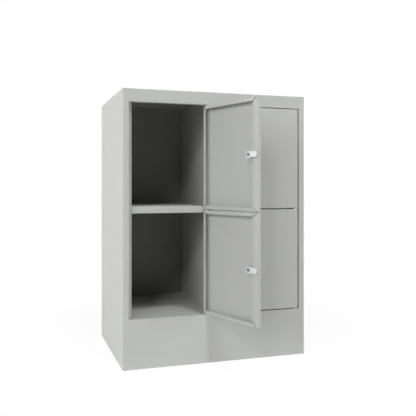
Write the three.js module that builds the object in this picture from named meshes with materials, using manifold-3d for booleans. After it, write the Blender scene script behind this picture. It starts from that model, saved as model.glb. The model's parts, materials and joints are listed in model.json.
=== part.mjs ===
// Compartment cabinet of folded sheet steel: two columns of two compartments above a plinth, each with a
// hinged door and a cam lock. Millimetres, +Z up, front facing -Y. The origin is on the floor under the
// centre wall, in the middle of the carcass. The two left doors stand open, the two right doors are closed.
import * as THREE from 'three';
import { mergeVertices } from 'three/addons/utils/BufferGeometryUtils.js';
import Module from 'manifold-3d';

const wasm = await Module();
wasm.setup();

// Overall size
const WIDTH = 600;
const DEPTH = 450;
const HEIGHT = 845;

// Sheet and fits
const SHEET = 1;
const BEND_INSIDE = 0.6;
const SEAM = 0.3;
const OVERRUN = 5;

// Front frame
const RAIL_HEIGHT = 40;
const PLINTH_HEIGHT = 150;
const STILE_WIDTH = 19;
const MULLION_WIDTH = 43;
const STOP_DEPTH = 19;
const STOP_WIDTH = 11;
const POST_DEPTH = 30;

// Flanges behind and below
const BACK_INSET = 30;
const REAR_FLANGE = 15;
const FOOT_FLANGE = 25;
const PLATE_FLANGE = 15;
const FLOOR_START = 12.5;

// Shelf, its rise counted from the lower edge of the door above it
const SHELF_RISE = 9.45;
const SHELF_LIP = 21;
const SHELF_HEM = 12;
const SHELF_LEG = 6.5;
const SHELF_LAP = 3.5;

// Doors
const DOOR_DEPTH = 16;
const SIDE_GAP = 3.5;
const TOP_GAP = 2;
const MIDDLE_GAP = 3.5;
const BOTTOM_GAP = 3;
const DOOR_LIP = 11;
const FREE_EDGE_LIP = 17;
const MITRE_SLIT = 2;
const OPEN_ANGLE = 108.5;

// Hinge pins, bushes and the brackets between the doors
const PIVOT_INSET = 8;
const PIVOT_DEPTH = 7;
const PIN_RADIUS = 2.5;
const PIN_REACH = 12;
const PIN_HEAD_RADIUS = 4;
const PIN_HEAD = 1.5;
const PIN_SHOULDER_RADIUS = 6;
const BUSH_WALL = 1.1;
const BUSH_LENGTH = 8;
const BUSH_COLLAR = 0.7;
const BUSH_COLLAR_OVERHANG = 0.8;
const BRACKET_SHEET = 1.5;
const BRACKET_WIDTH = 8;
const BRACKET_LEG = 7;
const BRACKET_SETBACK = 0.5;

// Cam lock, its depths counted back from the door's front face
const LOCK_INSET = 27;
const LOCK_RADIUS = 9;
const LOCK_FLANGE_RADIUS = 11;
const LOCK_FLANGE = 1.5;
const LOCK_LENGTH = 19.5;
const PLUG_RADIUS = 6.3;
const NUT_ACROSS_FLATS = 22;
const NUT_THICKNESS = 4;
const KEYWAY_WIDTH = 1.6;
const KEYWAY_HEIGHT = 8;
const KEYWAY_DEPTH = 6;
const CAM_DEPTH = 21;
const CAM_SHEET = 2.5;
const CAM_WIDTH = 17;
const CAM_REACH = 34;
const CAM_TAIL = 10;
const CAM_NOSE = 5;
const CAM_TAPER = 4.5;
const SQUARE_DRIVE = 7;
const SCREW_RADIUS = 1.9;
const SCREW_LENGTH = 10;
const SCREW_HEAD_RADIUS = 4.5;
const SCREW_HEAD = 2.2;

// Faceting
const BEND_STEPS = 2;
const ROUND_STEPS = 12;
const LOCK_STEPS = 16;

// Planes and places that follow from the sizes
const LEFT = -WIDTH / 2;
const RIGHT = WIDTH / 2;
const FRONT = -DEPTH / 2;
const REAR = DEPTH / 2;
const BACK = REAR - BACK_INSET;
const STOP_PLANE = FRONT + STOP_DEPTH;
const POST_END = FRONT + POST_DEPTH;
const LEDGE_END = STOP_PLANE - SEAM;
const RAIL_BOTTOM = HEIGHT - RAIL_HEIGHT;
const UNDER_TOP = HEIGHT - SHEET - SEAM;
const PIVOT_Y = FRONT + PIVOT_DEPTH;
const DOOR_ZONE = RAIL_BOTTOM - PLINTH_HEIGHT;
const DOOR_HEIGHT = (DOOR_ZONE - TOP_GAP - MIDDLE_GAP - BOTTOM_GAP) / 2;
const LOWER_DOOR_BOTTOM = PLINTH_HEIGHT + BOTTOM_GAP;
const LOWER_DOOR_TOP = LOWER_DOOR_BOTTOM + DOOR_HEIGHT;
const UPPER_DOOR_BOTTOM = LOWER_DOOR_TOP + MIDDLE_GAP;
const UPPER_DOOR_TOP = UPPER_DOOR_BOTTOM + DOOR_HEIGHT;
const SHELF_TOP = UPPER_DOOR_BOTTOM + SHELF_RISE;
const OPENING_WIDTH = (WIDTH - MULLION_WIDTH) / 2 - STILE_WIDTH;
const DOOR_WIDTH = OPENING_WIDTH - 2 * SIDE_GAP;

// Finishes
const paint = { color: 0xc2c4c1, roughness: 0.5, metalness: 0.0 };
const zinc = { color: 0xd6d7d4, roughness: 0.35, metalness: 1.0 };
const nickel = { color: 0xc9cac8, roughness: 0.25, metalness: 1.0 };
const nylon = { color: 0xeceae3, roughness: 0.55, metalness: 0.0 };

// Each column of compartments: the edges of its opening and the inner faces of its walls
const columns = [
  {
    name: 'left',
    strike: LEFT + STILE_WIDTH,
    hinge: -MULLION_WIDTH / 2,
    walls: [LEFT + SHEET, -SHEET / 2],
    doorAngle: OPEN_ANGLE,
    camThrown: true,
  },
  {
    name: 'right',
    strike: MULLION_WIDTH / 2,
    hinge: RIGHT - STILE_WIDTH,
    walls: [SHEET / 2, RIGHT - SHEET],
    doorAngle: 0,
    camThrown: false,
  },
];
const pivotX = (column) => column.hinge - SIDE_GAP - PIVOT_INSET;

// Solids for joining and cutting
function solidOf(geometry) {
  const bare = new THREE.BufferGeometry();
  bare.setAttribute('position', geometry.getAttribute('position'));
  bare.setIndex(geometry.getIndex());
  const merged = mergeVertices(bare);
  const vertProperties = Float32Array.from(merged.getAttribute('position').array);
  const triVerts = Uint32Array.from(merged.getIndex().array);
  return new wasm.Manifold(new wasm.Mesh({ numProp: 3, vertProperties, triVerts }));
}

function geometryOf(solid) {
  const { vertProperties, triVerts } = solid.getMesh();
  const geometry = new THREE.BufferGeometry();
  geometry.setAttribute('position', new THREE.BufferAttribute(vertProperties, 3));
  geometry.setIndex(new THREE.BufferAttribute(triVerts, 1));
  return geometry;
}

const join = (pieces) => geometryOf(pieces.map(solidOf).reduce((whole, piece) => whole.add(piece)));

function cut(body, tools) {
  return geometryOf(tools.map(solidOf).reduce((rest, tool) => rest.subtract(tool), solidOf(body)));
}

// A block given by its lowest and highest corner
function block([x0, y0, z0], [x1, y1, z1]) {
  const geometry = new THREE.BoxGeometry(x1 - x0, y1 - y0, z1 - z0);
  return geometry.translate((x0 + x1) / 2, (y0 + y1) / 2, (z0 + z1) / 2);
}

// An upright rod for cutting holes in level sheets
function uprightRod(x, y, radius, z0, z1) {
  const geometry = new THREE.CylinderGeometry(radius, radius, z1 - z0, ROUND_STEPS);
  return geometry.rotateX(Math.PI / 2).translate(x, y, (z0 + z1) / 2);
}

// A rod that runs from front to back, for cutting holes in a door or a lock
function levelRod(x, z, radius, y0, y1) {
  const geometry = new THREE.CylinderGeometry(radius, radius, y1 - y0, LOCK_STEPS);
  return geometry.translate(x, (y0 + y1) / 2, z);
}

// A line of points with corner i rounded to radii[i]; the two ends stay as they are
function roundedLine(points, radii) {
  const shares = Array.from({ length: BEND_STEPS + 1 }, (_, step) => step / BEND_STEPS);
  return points.flatMap((corner, i) => {
    if (i === 0 || i === points.length - 1) return [corner];
    const before = corner.clone().sub(points[i - 1]).normalize();
    const after = points[i + 1].clone().sub(corner).normalize();
    const turn = Math.atan2(before.cross(after), before.dot(after));
    const start = corner.clone().addScaledVector(before, -radii[i] * Math.tan(Math.abs(turn) / 2));
    const inward = new THREE.Vector2(-before.y, before.x).multiplyScalar(Math.sign(turn));
    const centre = start.clone().addScaledVector(inward, radii[i]);
    return shares.map((share) => start.clone().rotateAround(centre, turn * share));
  });
}

// A line moved sideways by a distance, positive to the left of its direction
function offsetLine(points, distance) {
  return points.map((point, i) => {
    const before = points[Math.max(i, 1)].clone().sub(points[Math.max(i, 1) - 1]).normalize();
    const next = Math.min(i, points.length - 2);
    const after = points[next + 1].clone().sub(points[next]).normalize();
    const leftBefore = new THREE.Vector2(-before.y, before.x);
    const leftAfter = new THREE.Vector2(-after.y, after.x);
    const mitre = leftBefore.clone().add(leftAfter).divideScalar(1 + leftBefore.dot(leftAfter));
    return point.clone().addScaledVector(mitre, distance);
  });
}

// The outline of a bent sheet. The points give its outer face, and the metal lies to the left of their
// direction when side is 1, or to the right when side is -1. Each bend keeps the same inside radius.
function bentSheet(outerFace, side) {
  const face = outerFace.map(([x, y]) => new THREE.Vector2(x, y));
  const turnsLeft = face.map((corner, i) => {
    if (i === 0 || i === face.length - 1) return false;
    return corner.clone().sub(face[i - 1]).cross(face[i + 1].clone().sub(corner)) > 0;
  });
  const outer = turnsLeft.map((left) => BEND_INSIDE + (left === side > 0 ? SHEET : 0));
  const inner = turnsLeft.map((left) => BEND_INSIDE + (left === side > 0 ? 0 : SHEET));
  const farFace = roundedLine(offsetLine(face, side * SHEET), inner);
  return new THREE.Shape([...roundedLine(face, outer), ...farFace.reverse()]);
}

const outline = (points) => new THREE.Shape(points.map(([x, y]) => new THREE.Vector2(x, y)));

// A plan outline raised from one height to another
function raise(shape, z0, z1) {
  const geometry = new THREE.ExtrudeGeometry(shape, { depth: z1 - z0, bevelEnabled: false });
  return geometry.translate(0, 0, z0);
}

// A side-view outline, in Y and Z, run from one X to another
function runAcross(shape, x0, x1) {
  const geometry = new THREE.ExtrudeGeometry(shape, { depth: x1 - x0, bevelEnabled: false });
  const y = new THREE.Vector3(0, 1, 0);
  const z = new THREE.Vector3(0, 0, 1);
  const x = new THREE.Vector3(1, 0, 0);
  return geometry.applyMatrix4(new THREE.Matrix4().makeBasis(y, z, x)).translate(x0, 0, 0);
}

// A front-view outline, in X and Z, run from one Y back to another
function runBack(shape, y0, y1) {
  const geometry = new THREE.ExtrudeGeometry(shape, { depth: y1 - y0, bevelEnabled: false });
  return geometry.rotateX(Math.PI / 2).translate(0, y1, 0);
}

// A turned piece: its profile gives radius and place along Y, which is a lock's own axis
function turned(profile, steps) {
  return new THREE.LatheGeometry(profile.map(([r, y]) => new THREE.Vector2(r, y)), steps);
}

const upright = (geometry) => geometry.rotateX(Math.PI / 2);

function piece(name, geometry, finish) {
  const mesh = new THREE.Mesh(geometry, new THREE.MeshStandardMaterial(finish));
  mesh.name = name;
  return mesh;
}

// Side panels: one sheet each, from the door stop or the post, round the stile and back to the rear flange
function leftSidePanel() {
  const face = [
    [LEFT + STILE_WIDTH + STOP_WIDTH, STOP_PLANE],
    [LEFT + STILE_WIDTH, STOP_PLANE],
    [LEFT + STILE_WIDTH, FRONT],
    [LEFT, FRONT],
    [LEFT, REAR],
    [LEFT + REAR_FLANGE, REAR],
  ];
  return piece('left_side_panel', raise(bentSheet(face, -1), 0, UNDER_TOP), paint);
}

function rightSidePanel() {
  const face = [
    [RIGHT - STILE_WIDTH, POST_END],
    [RIGHT - STILE_WIDTH, FRONT],
    [RIGHT, FRONT],
    [RIGHT, REAR],
    [RIGHT - REAR_FLANGE, REAR],
  ];
  return piece('right_side_panel', raise(bentSheet(face, 1), 0, UNDER_TOP), paint);
}

// The front frame's level pieces fit between the stiles and hold the hinge pins
const BETWEEN_STILES = [LEFT + STILE_WIDTH + SEAM, RIGHT - STILE_WIDTH - SEAM];

function pinHoles(z) {
  return columns.map((column) => {
    return uprightRod(pivotX(column), PIVOT_Y, PIN_RADIUS + SEAM, z - OVERRUN, z + OVERRUN);
  });
}

// Top: the sheet covers the side panels, and its front edge is folded down into the rail
function topPanel() {
  const face = [
    [LEDGE_END, RAIL_BOTTOM],
    [FRONT, RAIL_BOTTOM],
    [FRONT, HEIGHT],
    [REAR, HEIGHT],
    [REAR, HEIGHT - REAR_FLANGE],
  ];
  const [x0, x1] = BETWEEN_STILES;
  const overStile = block([LEFT, FRONT, HEIGHT - SHEET], [x0 + OVERRUN, REAR, HEIGHT]);
  const overPost = block([x1 - OVERRUN, FRONT, HEIGHT - SHEET], [RIGHT, REAR, HEIGHT]);
  const folded = runAcross(bentSheet(face, -1), x0, x1);
  return piece('top_panel', cut(join([folded, overStile, overPost]), pinHoles(RAIL_BOTTOM)), paint);
}

function plinthPanel() {
  const face = [
    [LEDGE_END, 0],
    [FRONT, 0],
    [FRONT, PLINTH_HEIGHT],
    [LEDGE_END, PLINTH_HEIGHT],
  ];
  const folded = runAcross(bentSheet(face, -1), ...BETWEEN_STILES);
  return piece('plinth_panel', cut(folded, pinHoles(PLINTH_HEIGHT)), paint);
}

// Back: set in from the rear edges, with a flange along each side wall
function backPanel() {
  const [x0, x1] = [LEFT + SHEET + SEAM, RIGHT - SHEET - SEAM];
  const flangeEnd = REAR - SHEET - SEAM;
  const face = [
    [x0, flangeEnd],
    [x0, BACK],
    [x1, BACK],
    [x1, flangeEnd],
  ];
  return piece('back_panel', raise(bentSheet(face, 1), 0, UNDER_TOP), paint);
}

// Centre wall: folded behind the mullion in front, and turned over at its foot and its head
function centreWall() {
  const y0 = POST_END + SEAM;
  const y1 = BACK - SEAM;
  const face = [
    [-MULLION_WIDTH / 2, y0],
    [SHEET / 2, y0],
    [SHEET / 2, y1],
  ];
  const wall = raise(bentSheet(face, 1), 0, UNDER_TOP);
  const flanges = [0, UNDER_TOP - SHEET].map((z) => {
    return block([-SHEET / 2, y0 + FOOT_FLANGE, z], [FOOT_FLANGE, y1 - FOOT_FLANGE, z + SHEET]);
  });
  return piece('centre_wall', join([wall, ...flanges]), paint);
}

// Centre mullion: the post between the doors, with the door stop of the right column
function centreMullion() {
  const half = MULLION_WIDTH / 2;
  const face = [
    [-half, POST_END],
    [-half, FRONT],
    [half, FRONT],
    [half, STOP_PLANE],
    [half + STOP_WIDTH, STOP_PLANE],
  ];
  const post = raise(bentSheet(face, 1), PLINTH_HEIGHT + SEAM, RAIL_BOTTOM - SEAM);
  return piece('centre_mullion', post, paint);
}

// A level plate that fills one column behind the door stops, with flanges turned down along its walls
function columnPlate(column, front, top) {
  const [wall0, wall1] = [column.walls[0] + SEAM, column.walls[1] - SEAM];
  const stopEnd = column.strike + STOP_WIDTH + SEAM;
  const postSide = column.hinge - SEAM;
  const behindStop = STOP_PLANE + SHEET + SEAM;
  const behindPost = POST_END + SEAM + SHEET + SEAM;
  const back = BACK - SEAM;
  const plan = [
    [stopEnd, front],
    [postSide, front],
    [postSide, behindPost],
    [wall1, behindPost],
    [wall1, back],
    [wall0, back],
    [wall0, behindStop],
    [stopEnd, behindStop],
  ];
  const flange = [
    [wall0, behindPost + SEAM],
    [wall0, back],
    [wall1, back],
    [wall1, behindPost + SEAM],
    [wall1 - SHEET, behindPost + SEAM],
    [wall1 - SHEET, back - SHEET],
    [wall0 + SHEET, back - SHEET],
    [wall0 + SHEET, behindPost + SEAM],
  ];
  const turnedDown = raise(outline(flange), top - PLATE_FLANGE, top - SHEET / 2);
  return join([raise(outline(plan), top - SHEET, top), turnedDown]);
}

// Floor: it laps under the plinth's top flange
function floorPlate(column) {
  const top = PLINTH_HEIGHT - SHEET - SEAM;
  return piece(`${column.name}_floor`, columnPlate(column, FRONT + FLOOR_START, top), paint);
}

// The gap between the doors of a column holds the hinge bracket in its middle
const BRACKET_Z = LOWER_DOOR_TOP + MIDDLE_GAP / 2;

// Shelf: its front edge is folded down into a lip that both doors close against
function shelf(column) {
  const lipFace = [
    [STOP_PLANE + SHELF_LEG, SHELF_TOP],
    [STOP_PLANE, SHELF_TOP],
    [STOP_PLANE, SHELF_TOP - SHELF_LIP],
    [STOP_PLANE + SHELF_HEM, SHELF_TOP - SHELF_LIP],
  ];
  const stopEnd = column.strike + STOP_WIDTH + SEAM;
  const lip = runAcross(bentSheet(lipFace, 1), stopEnd, column.hinge - SEAM);
  const plate = columnPlate(column, STOP_PLANE + SHELF_LEG - SHELF_LAP, SHELF_TOP);
  const x = pivotX(column);
  const halfWidth = BRACKET_WIDTH / 2 + SEAM;
  const halfHeight = BRACKET_SHEET / 2 + SEAM;
  const slot = block(
    [x - halfWidth, STOP_PLANE - OVERRUN, BRACKET_Z - halfHeight],
    [x + halfWidth, STOP_PLANE + OVERRUN, BRACKET_Z + halfHeight],
  );
  return piece(`${column.name}_shelf`, cut(join([lip, plate]), [slot]), paint);
}

// Hinge bracket: a strip through the shelf's lip into the gap between the doors. Its rear end is folded down
// behind the lip, and a tab across its front end closes the gap before the pin
function hingeBracket(column) {
  const x = pivotX(column);
  const half = BRACKET_WIDTH / 2;
  const legFront = STOP_PLANE + SHEET + SEAM;
  const legBack = legFront + BRACKET_SHEET;
  const tabFront = FRONT + BRACKET_SETBACK;
  const tabBack = tabFront + BRACKET_SHEET;
  const [z0, z1] = [BRACKET_Z - BRACKET_SHEET / 2, BRACKET_Z + BRACKET_SHEET / 2];
  const strip = block([x - half, tabFront, z0], [x + half, legBack, z1]);
  const leg = block([x - half, legFront, z0 - BRACKET_LEG], [x + half, legBack, z1]);
  const tab = block(
    [x - half, tabFront, LOWER_DOOR_TOP + SEAM],
    [x + half, tabBack, UPPER_DOOR_BOTTOM - SEAM],
  );
  const eye = uprightRod(x, PIVOT_Y, PIN_RADIUS + SEAM, z0 - OVERRUN, z1 + OVERRUN);
  return piece(`${column.name}_hinge_bracket`, cut(join([strip, leg, tab]), [eye]), zinc);
}

// Hinge pins: the lower one is riveted in the plinth and carries the lower door on its wide shoulder, the
// middle one stands in the bracket for both doors, and the upper one hangs in the rail
function hingePins(column) {
  const lowest = PLINTH_HEIGHT - SHEET;
  const shoulderTop = LOWER_DOOR_BOTTOM - BUSH_COLLAR - SEAM;
  const lower = [
    [0, lowest - PIN_HEAD],
    [PIN_HEAD_RADIUS, lowest - PIN_HEAD],
    [PIN_HEAD_RADIUS, lowest],
    [PIN_RADIUS, lowest],
    [PIN_RADIUS, PLINTH_HEIGHT],
    [PIN_SHOULDER_RADIUS, PLINTH_HEIGHT],
    [PIN_SHOULDER_RADIUS, shoulderTop],
    [PIN_RADIUS, shoulderTop],
    [PIN_RADIUS, LOWER_DOOR_BOTTOM + PIN_REACH],
    [0, LOWER_DOOR_BOTTOM + PIN_REACH],
  ];
  const middle = [
    [0, LOWER_DOOR_TOP - PIN_REACH],
    [PIN_RADIUS, LOWER_DOOR_TOP - PIN_REACH],
    [PIN_RADIUS, UPPER_DOOR_BOTTOM + PIN_REACH],
    [0, UPPER_DOOR_BOTTOM + PIN_REACH],
  ];
  const seat = RAIL_BOTTOM + SHEET;
  const upper = [
    [0, UPPER_DOOR_TOP - PIN_REACH],
    [PIN_RADIUS, UPPER_DOOR_TOP - PIN_REACH],
    [PIN_RADIUS, seat],
    [PIN_HEAD_RADIUS, seat],
    [PIN_HEAD_RADIUS, seat + PIN_HEAD],
    [0, seat + PIN_HEAD],
  ];
  return Object.entries({ lower, middle, upper }).map(([place, profile]) => {
    const pin = piece(`${column.name}_${place}_pin`, upright(turned(profile, ROUND_STEPS)), zinc);
    pin.position.set(pivotX(column), PIVOT_Y, 0);
    return pin;
  });
}

// A block given by its ranges along X, Y and Z, with the rims of its front and its back rounded
function roundedBlock([x0, x1], [y0, y1], [z0, z1], radius) {
  const shape = outline([
    [x0 + radius, z0 + radius],
    [x1 - radius, z0 + radius],
    [x1 - radius, z1 - radius],
    [x0 + radius, z1 - radius],
  ]);
  const geometry = new THREE.ExtrudeGeometry(shape, {
    depth: y1 - y0 - 2 * radius,
    bevelThickness: radius,
    bevelSize: radius,
    bevelSegments: BEND_STEPS,
  });
  return geometry.rotateX(Math.PI / 2).translate(0, y1 - radius, 0);
}

// Door pan, around its pivot: X towards the hinge edge, Y back from the pivot, Z up from the lower edge
function doorPan(name) {
  const [x0, x1] = [PIVOT_INSET - DOOR_WIDTH, PIVOT_INSET];
  const [y0, y1] = [-PIVOT_DEPTH, DOOR_DEPTH - PIVOT_DEPTH];
  const shell = roundedBlock([x0, x1], [y0, y1], [0, DOOR_HEIGHT], BEND_INSIDE + SHEET);
  const hollow = roundedBlock(
    [x0 + SHEET, x1 - SHEET],
    [y0 + SHEET, y1 - SHEET],
    [SHEET, DOOR_HEIGHT - SHEET],
    BEND_INSIDE,
  );
  const mouth = [
    [x0 + FREE_EDGE_LIP, x1 - DOOR_LIP],
    [DOOR_LIP, DOOR_HEIGHT - DOOR_LIP],
  ];
  const behind = [y1 - SHEET - BEND_INSIDE, y1 + OVERRUN];
  const opening = block([mouth[0][0], behind[0], mouth[1][0]], [mouth[0][1], behind[1], mouth[1][1]]);
  const slits = [0, 1].flatMap((right) => {
    return [0, 1].map((top) => {
      const corner = new THREE.Vector2([x0, x1][right], [0, DOOR_HEIGHT][top]);
      const inside = new THREE.Vector2(mouth[0][right], mouth[1][top]);
      return mitreSlit(corner, inside, behind);
    });
  });
  const bushHoles = [0, DOOR_HEIGHT].map((z) => {
    return uprightRod(0, 0, BUSH_RADIUS + SEAM, z - OVERRUN, z + OVERRUN);
  });
  const lockHole = levelRod(LOCK_X, DOOR_HEIGHT / 2, LOCK_RADIUS + SEAM, y0 - OVERRUN, y0 + OVERRUN);
  return piece(name, cut(shell, [hollow, opening, ...slits, ...bushHoles, lockHole]), paint);
}

// A thin upright cut along the mitre, from just inside a door's corner to the lips' inner corner
function mitreSlit(corner, inside, [y0, y1]) {
  const along = inside.clone().sub(corner);
  const start = corner.clone().addScaledVector(along.clone().normalize(), BEND_INSIDE + SHEET);
  const length = along.length() + OVERRUN;
  const geometry = new THREE.BoxGeometry(length, y1 - y0, MITRE_SLIT).translate(length / 2, 0, 0);
  return geometry.rotateY(-along.angle()).translate(start.x, (y0 + y1) / 2, start.y);
}

// Bush: a nylon sleeve in the door's flange, with a thin collar outside the door
const BUSH_BORE = PIN_RADIUS + SEAM;
const BUSH_RADIUS = BUSH_BORE + BUSH_WALL;

function bush(name, end) {
  const collarRadius = BUSH_RADIUS + BUSH_COLLAR_OVERHANG;
  const profile = [
    [BUSH_BORE, -BUSH_LENGTH],
    [BUSH_RADIUS, -BUSH_LENGTH],
    [BUSH_RADIUS, 0],
    [collarRadius, 0],
    [collarRadius, BUSH_COLLAR],
    [BUSH_BORE, BUSH_COLLAR],
    [BUSH_BORE, -BUSH_LENGTH],
  ];
  const mesh = piece(name, upright(turned(profile, ROUND_STEPS)), nylon);
  mesh.position.z = end === 'upper' ? DOOR_HEIGHT : 0;
  mesh.rotation.x = end === 'upper' ? 0 : Math.PI;
  return mesh;
}

// Lock body: a tube through the door with a flange in front, held by a nut behind the sheet
const LOCK_X = PIVOT_INSET - DOOR_WIDTH + LOCK_INSET;

function lockBody(name) {
  const front = -SEAM - LOCK_FLANGE;
  const bore = PLUG_RADIUS + SEAM;
  const profile = [
    [bore, front],
    [LOCK_FLANGE_RADIUS, front],
    [LOCK_FLANGE_RADIUS, -SEAM],
    [LOCK_RADIUS, -SEAM],
    [LOCK_RADIUS, LOCK_LENGTH],
    [bore, LOCK_LENGTH],
    [bore, front],
  ];
  return piece(name, turned(profile, LOCK_STEPS), nickel);
}

function lockNut(name) {
  const corner = NUT_ACROSS_FLATS / 2 / Math.cos(Math.PI / 6);
  const sides = Array.from({ length: 6 }, (_, i) => {
    return [corner * Math.cos((i * Math.PI) / 3), corner * Math.sin((i * Math.PI) / 3)];
  });
  const hexagon = outline(sides);
  const bore = new THREE.Path();
  bore.absarc(0, 0, LOCK_RADIUS + SEAM, 0, 2 * Math.PI, true);
  hexagon.holes.push(bore);
  const front = SHEET + SEAM;
  return piece(name, runBack(hexagon, front, front + NUT_THICKNESS), zinc);
}

// The turning pieces of the lock: plug, cam and screw
function lockPlug(name) {
  const front = -SEAM - LOCK_FLANGE;
  const shoulder = CAM_DEPTH - SEAM;
  const end = CAM_DEPTH + CAM_SHEET - SEAM;
  const half = SQUARE_DRIVE / 2;
  const barrel = levelRod(0, 0, PLUG_RADIUS, front, shoulder);
  const drive = block([-half, shoulder - SEAM, -half], [half, end, half]);
  const keyway = block(
    [-KEYWAY_WIDTH / 2, front - OVERRUN, -KEYWAY_HEIGHT / 2],
    [KEYWAY_WIDTH / 2, front + KEYWAY_DEPTH, KEYWAY_HEIGHT / 2],
  );
  const thread = levelRod(0, 0, SCREW_RADIUS + SEAM, end - SCREW_LENGTH - SEAM, end + OVERRUN);
  return piece(name, cut(join([barrel, drive]), [keyway, thread]), nickel);
}

// Cam: it reaches left from the lock's axis, past the door's free edge, and its tip is tapered
function lockCam(name) {
  const half = CAM_WIDTH / 2;
  const taperStart = CAM_TAPER - CAM_REACH;
  const plate = outline([
    [-CAM_REACH, -CAM_NOSE / 2],
    [taperStart, -half],
    [CAM_TAIL, -half],
    [CAM_TAIL, half],
    [taperStart, half],
    [-CAM_REACH, CAM_NOSE / 2],
  ]);
  const drive = SQUARE_DRIVE / 2 + SEAM;
  plate.holes.push(
    outline([
      [-drive, -drive],
      [-drive, drive],
      [drive, drive],
      [drive, -drive],
    ]),
  );
  return piece(name, runBack(plate, CAM_DEPTH, CAM_DEPTH + CAM_SHEET), zinc);
}

function camScrew(name) {
  const seat = CAM_DEPTH + CAM_SHEET + SEAM;
  const tip = CAM_DEPTH + CAM_SHEET - SCREW_LENGTH;
  const profile = [
    [0, tip],
    [SCREW_RADIUS, tip],
    [SCREW_RADIUS, seat],
    [SCREW_HEAD_RADIUS, seat],
    [SCREW_HEAD_RADIUS, seat + SCREW_HEAD],
    [0, seat + SCREW_HEAD],
  ];
  return piece(name, turned(profile, ROUND_STEPS), zinc);
}

// One door with its bushes and its lock; the cam points at the strike side, or hangs down when unlocked
function door(column, row, bottom) {
  const name = `${row}_${column.name}`;
  const turning = new THREE.Group();
  turning.rotation.y = column.camThrown ? 0 : -Math.PI / 2;
  turning.add(lockPlug(`${name}_lock_plug`), lockCam(`${name}_lock_cam`), camScrew(`${name}_cam_screw`));
  const lock = new THREE.Group();
  lock.position.set(LOCK_X, -PIVOT_DEPTH, DOOR_HEIGHT / 2);
  lock.add(lockBody(`${name}_lock_body`), lockNut(`${name}_lock_nut`), turning);
  const leaf = new THREE.Group();
  leaf.position.set(pivotX(column), PIVOT_Y, bottom);
  leaf.rotation.z = THREE.MathUtils.degToRad(column.doorAngle);
  leaf.add(doorPan(`${name}_door`), bush(`${name}_lower_bush`, 'lower'), bush(`${name}_upper_bush`, 'upper'));
  leaf.add(lock);
  return leaf;
}

const cabinet = new THREE.Group();
cabinet.add(leftSidePanel(), rightSidePanel(), topPanel(), plinthPanel(), backPanel());
cabinet.add(centreWall(), centreMullion());
for (const column of columns) {
  cabinet.add(floorPlate(column), shelf(column), hingeBracket(column), ...hingePins(column));
  cabinet.add(door(column, 'lower', LOWER_DOOR_BOTTOM), door(column, 'upper', UPPER_DOOR_BOTTOM));
}

export default cabinet;
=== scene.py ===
# %% [markdown]
# # A compartment cabinet
#
# The real cabinet is folded from sheet steel one millimetre thick and powder coated in light grey. Two
# columns of two compartments stand on a plinth, and each compartment has a door with a cam lock.
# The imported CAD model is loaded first, as the frame that every piece here is measured from. Everything is
# in metres, Z points up, and the doors are on the -Y side.

import json
import math

import bmesh
import bpy
import numpy as np
from mathutils import Matrix, Vector


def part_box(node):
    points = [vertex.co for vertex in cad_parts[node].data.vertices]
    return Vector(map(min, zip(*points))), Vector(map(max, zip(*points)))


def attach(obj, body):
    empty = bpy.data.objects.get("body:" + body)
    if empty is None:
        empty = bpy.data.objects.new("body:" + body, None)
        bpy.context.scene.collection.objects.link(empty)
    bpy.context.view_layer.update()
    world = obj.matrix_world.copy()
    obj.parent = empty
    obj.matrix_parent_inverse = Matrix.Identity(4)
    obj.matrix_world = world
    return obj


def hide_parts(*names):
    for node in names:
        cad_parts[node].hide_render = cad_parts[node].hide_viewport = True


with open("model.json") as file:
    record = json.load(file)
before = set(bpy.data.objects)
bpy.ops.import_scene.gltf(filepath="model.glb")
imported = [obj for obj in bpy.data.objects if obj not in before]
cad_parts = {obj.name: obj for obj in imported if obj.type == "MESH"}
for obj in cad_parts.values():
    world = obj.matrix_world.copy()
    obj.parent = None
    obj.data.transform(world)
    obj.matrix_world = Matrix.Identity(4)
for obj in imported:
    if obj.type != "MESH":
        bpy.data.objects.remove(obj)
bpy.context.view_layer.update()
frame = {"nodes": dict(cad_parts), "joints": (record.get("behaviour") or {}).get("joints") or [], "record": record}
nodes = frame["nodes"]
record = frame["record"]
slot_of = {part["node"]: part["material_slot"] for part in record["subparts"]}
body_of = {node: body for body, members in record["behaviour"]["bodies"].items() for node in members}
joint_of = {joint["name"]: joint for joint in frame["joints"]}

# %% [markdown]
# ## The camera
#
# The photograph keeps every upright edge upright, so its camera was level and its lens was shifted down a
# little. The vanishing points give the rest: how far to the left it stood, how high, and its focal length.
# A shifted level camera is made the same way here, because tilting it would make the uprights converge.

# %% Camera
MM = 0.001
IMAGE_PX = 416
FOCAL_PX = 593.5
HORIZON_PX = 186.4
EYE = (-608.2 * MM, -1986.1 * MM, 550.7 * MM)
TURN_RIGHT = math.radians(18.1)
SENSOR_MM = 36.0

scene = bpy.context.scene


def add_object(name, data):
    """A new object in the scene, for a mesh, a camera or a lamp."""
    added = bpy.data.objects.new(name, data)
    scene.collection.objects.link(added)
    return added


lens = bpy.data.cameras.new("photo_camera")
lens.sensor_width = SENSOR_MM
lens.lens = SENSOR_MM * FOCAL_PX / IMAGE_PX
lens.shift_y = (HORIZON_PX - IMAGE_PX / 2) / IMAGE_PX
camera = add_object("photo_camera", lens)
camera.location = EYE
camera.rotation_euler = (math.pi / 2, 0, -TURN_RIGHT)
scene.camera = camera
print(f"camera: {lens.lens:.2f} mm lens, shift {lens.shift_y:.4f}")

# %% [markdown]
# ## Helpers for materials
#
# A material is a small tree of nodes. One function turns a written colour into the linear values that
# Blender computes with, and one adds a node, sets it and links it, so that each material below reads as a
# list of what its surface is made of.

# %% Material helpers


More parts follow.
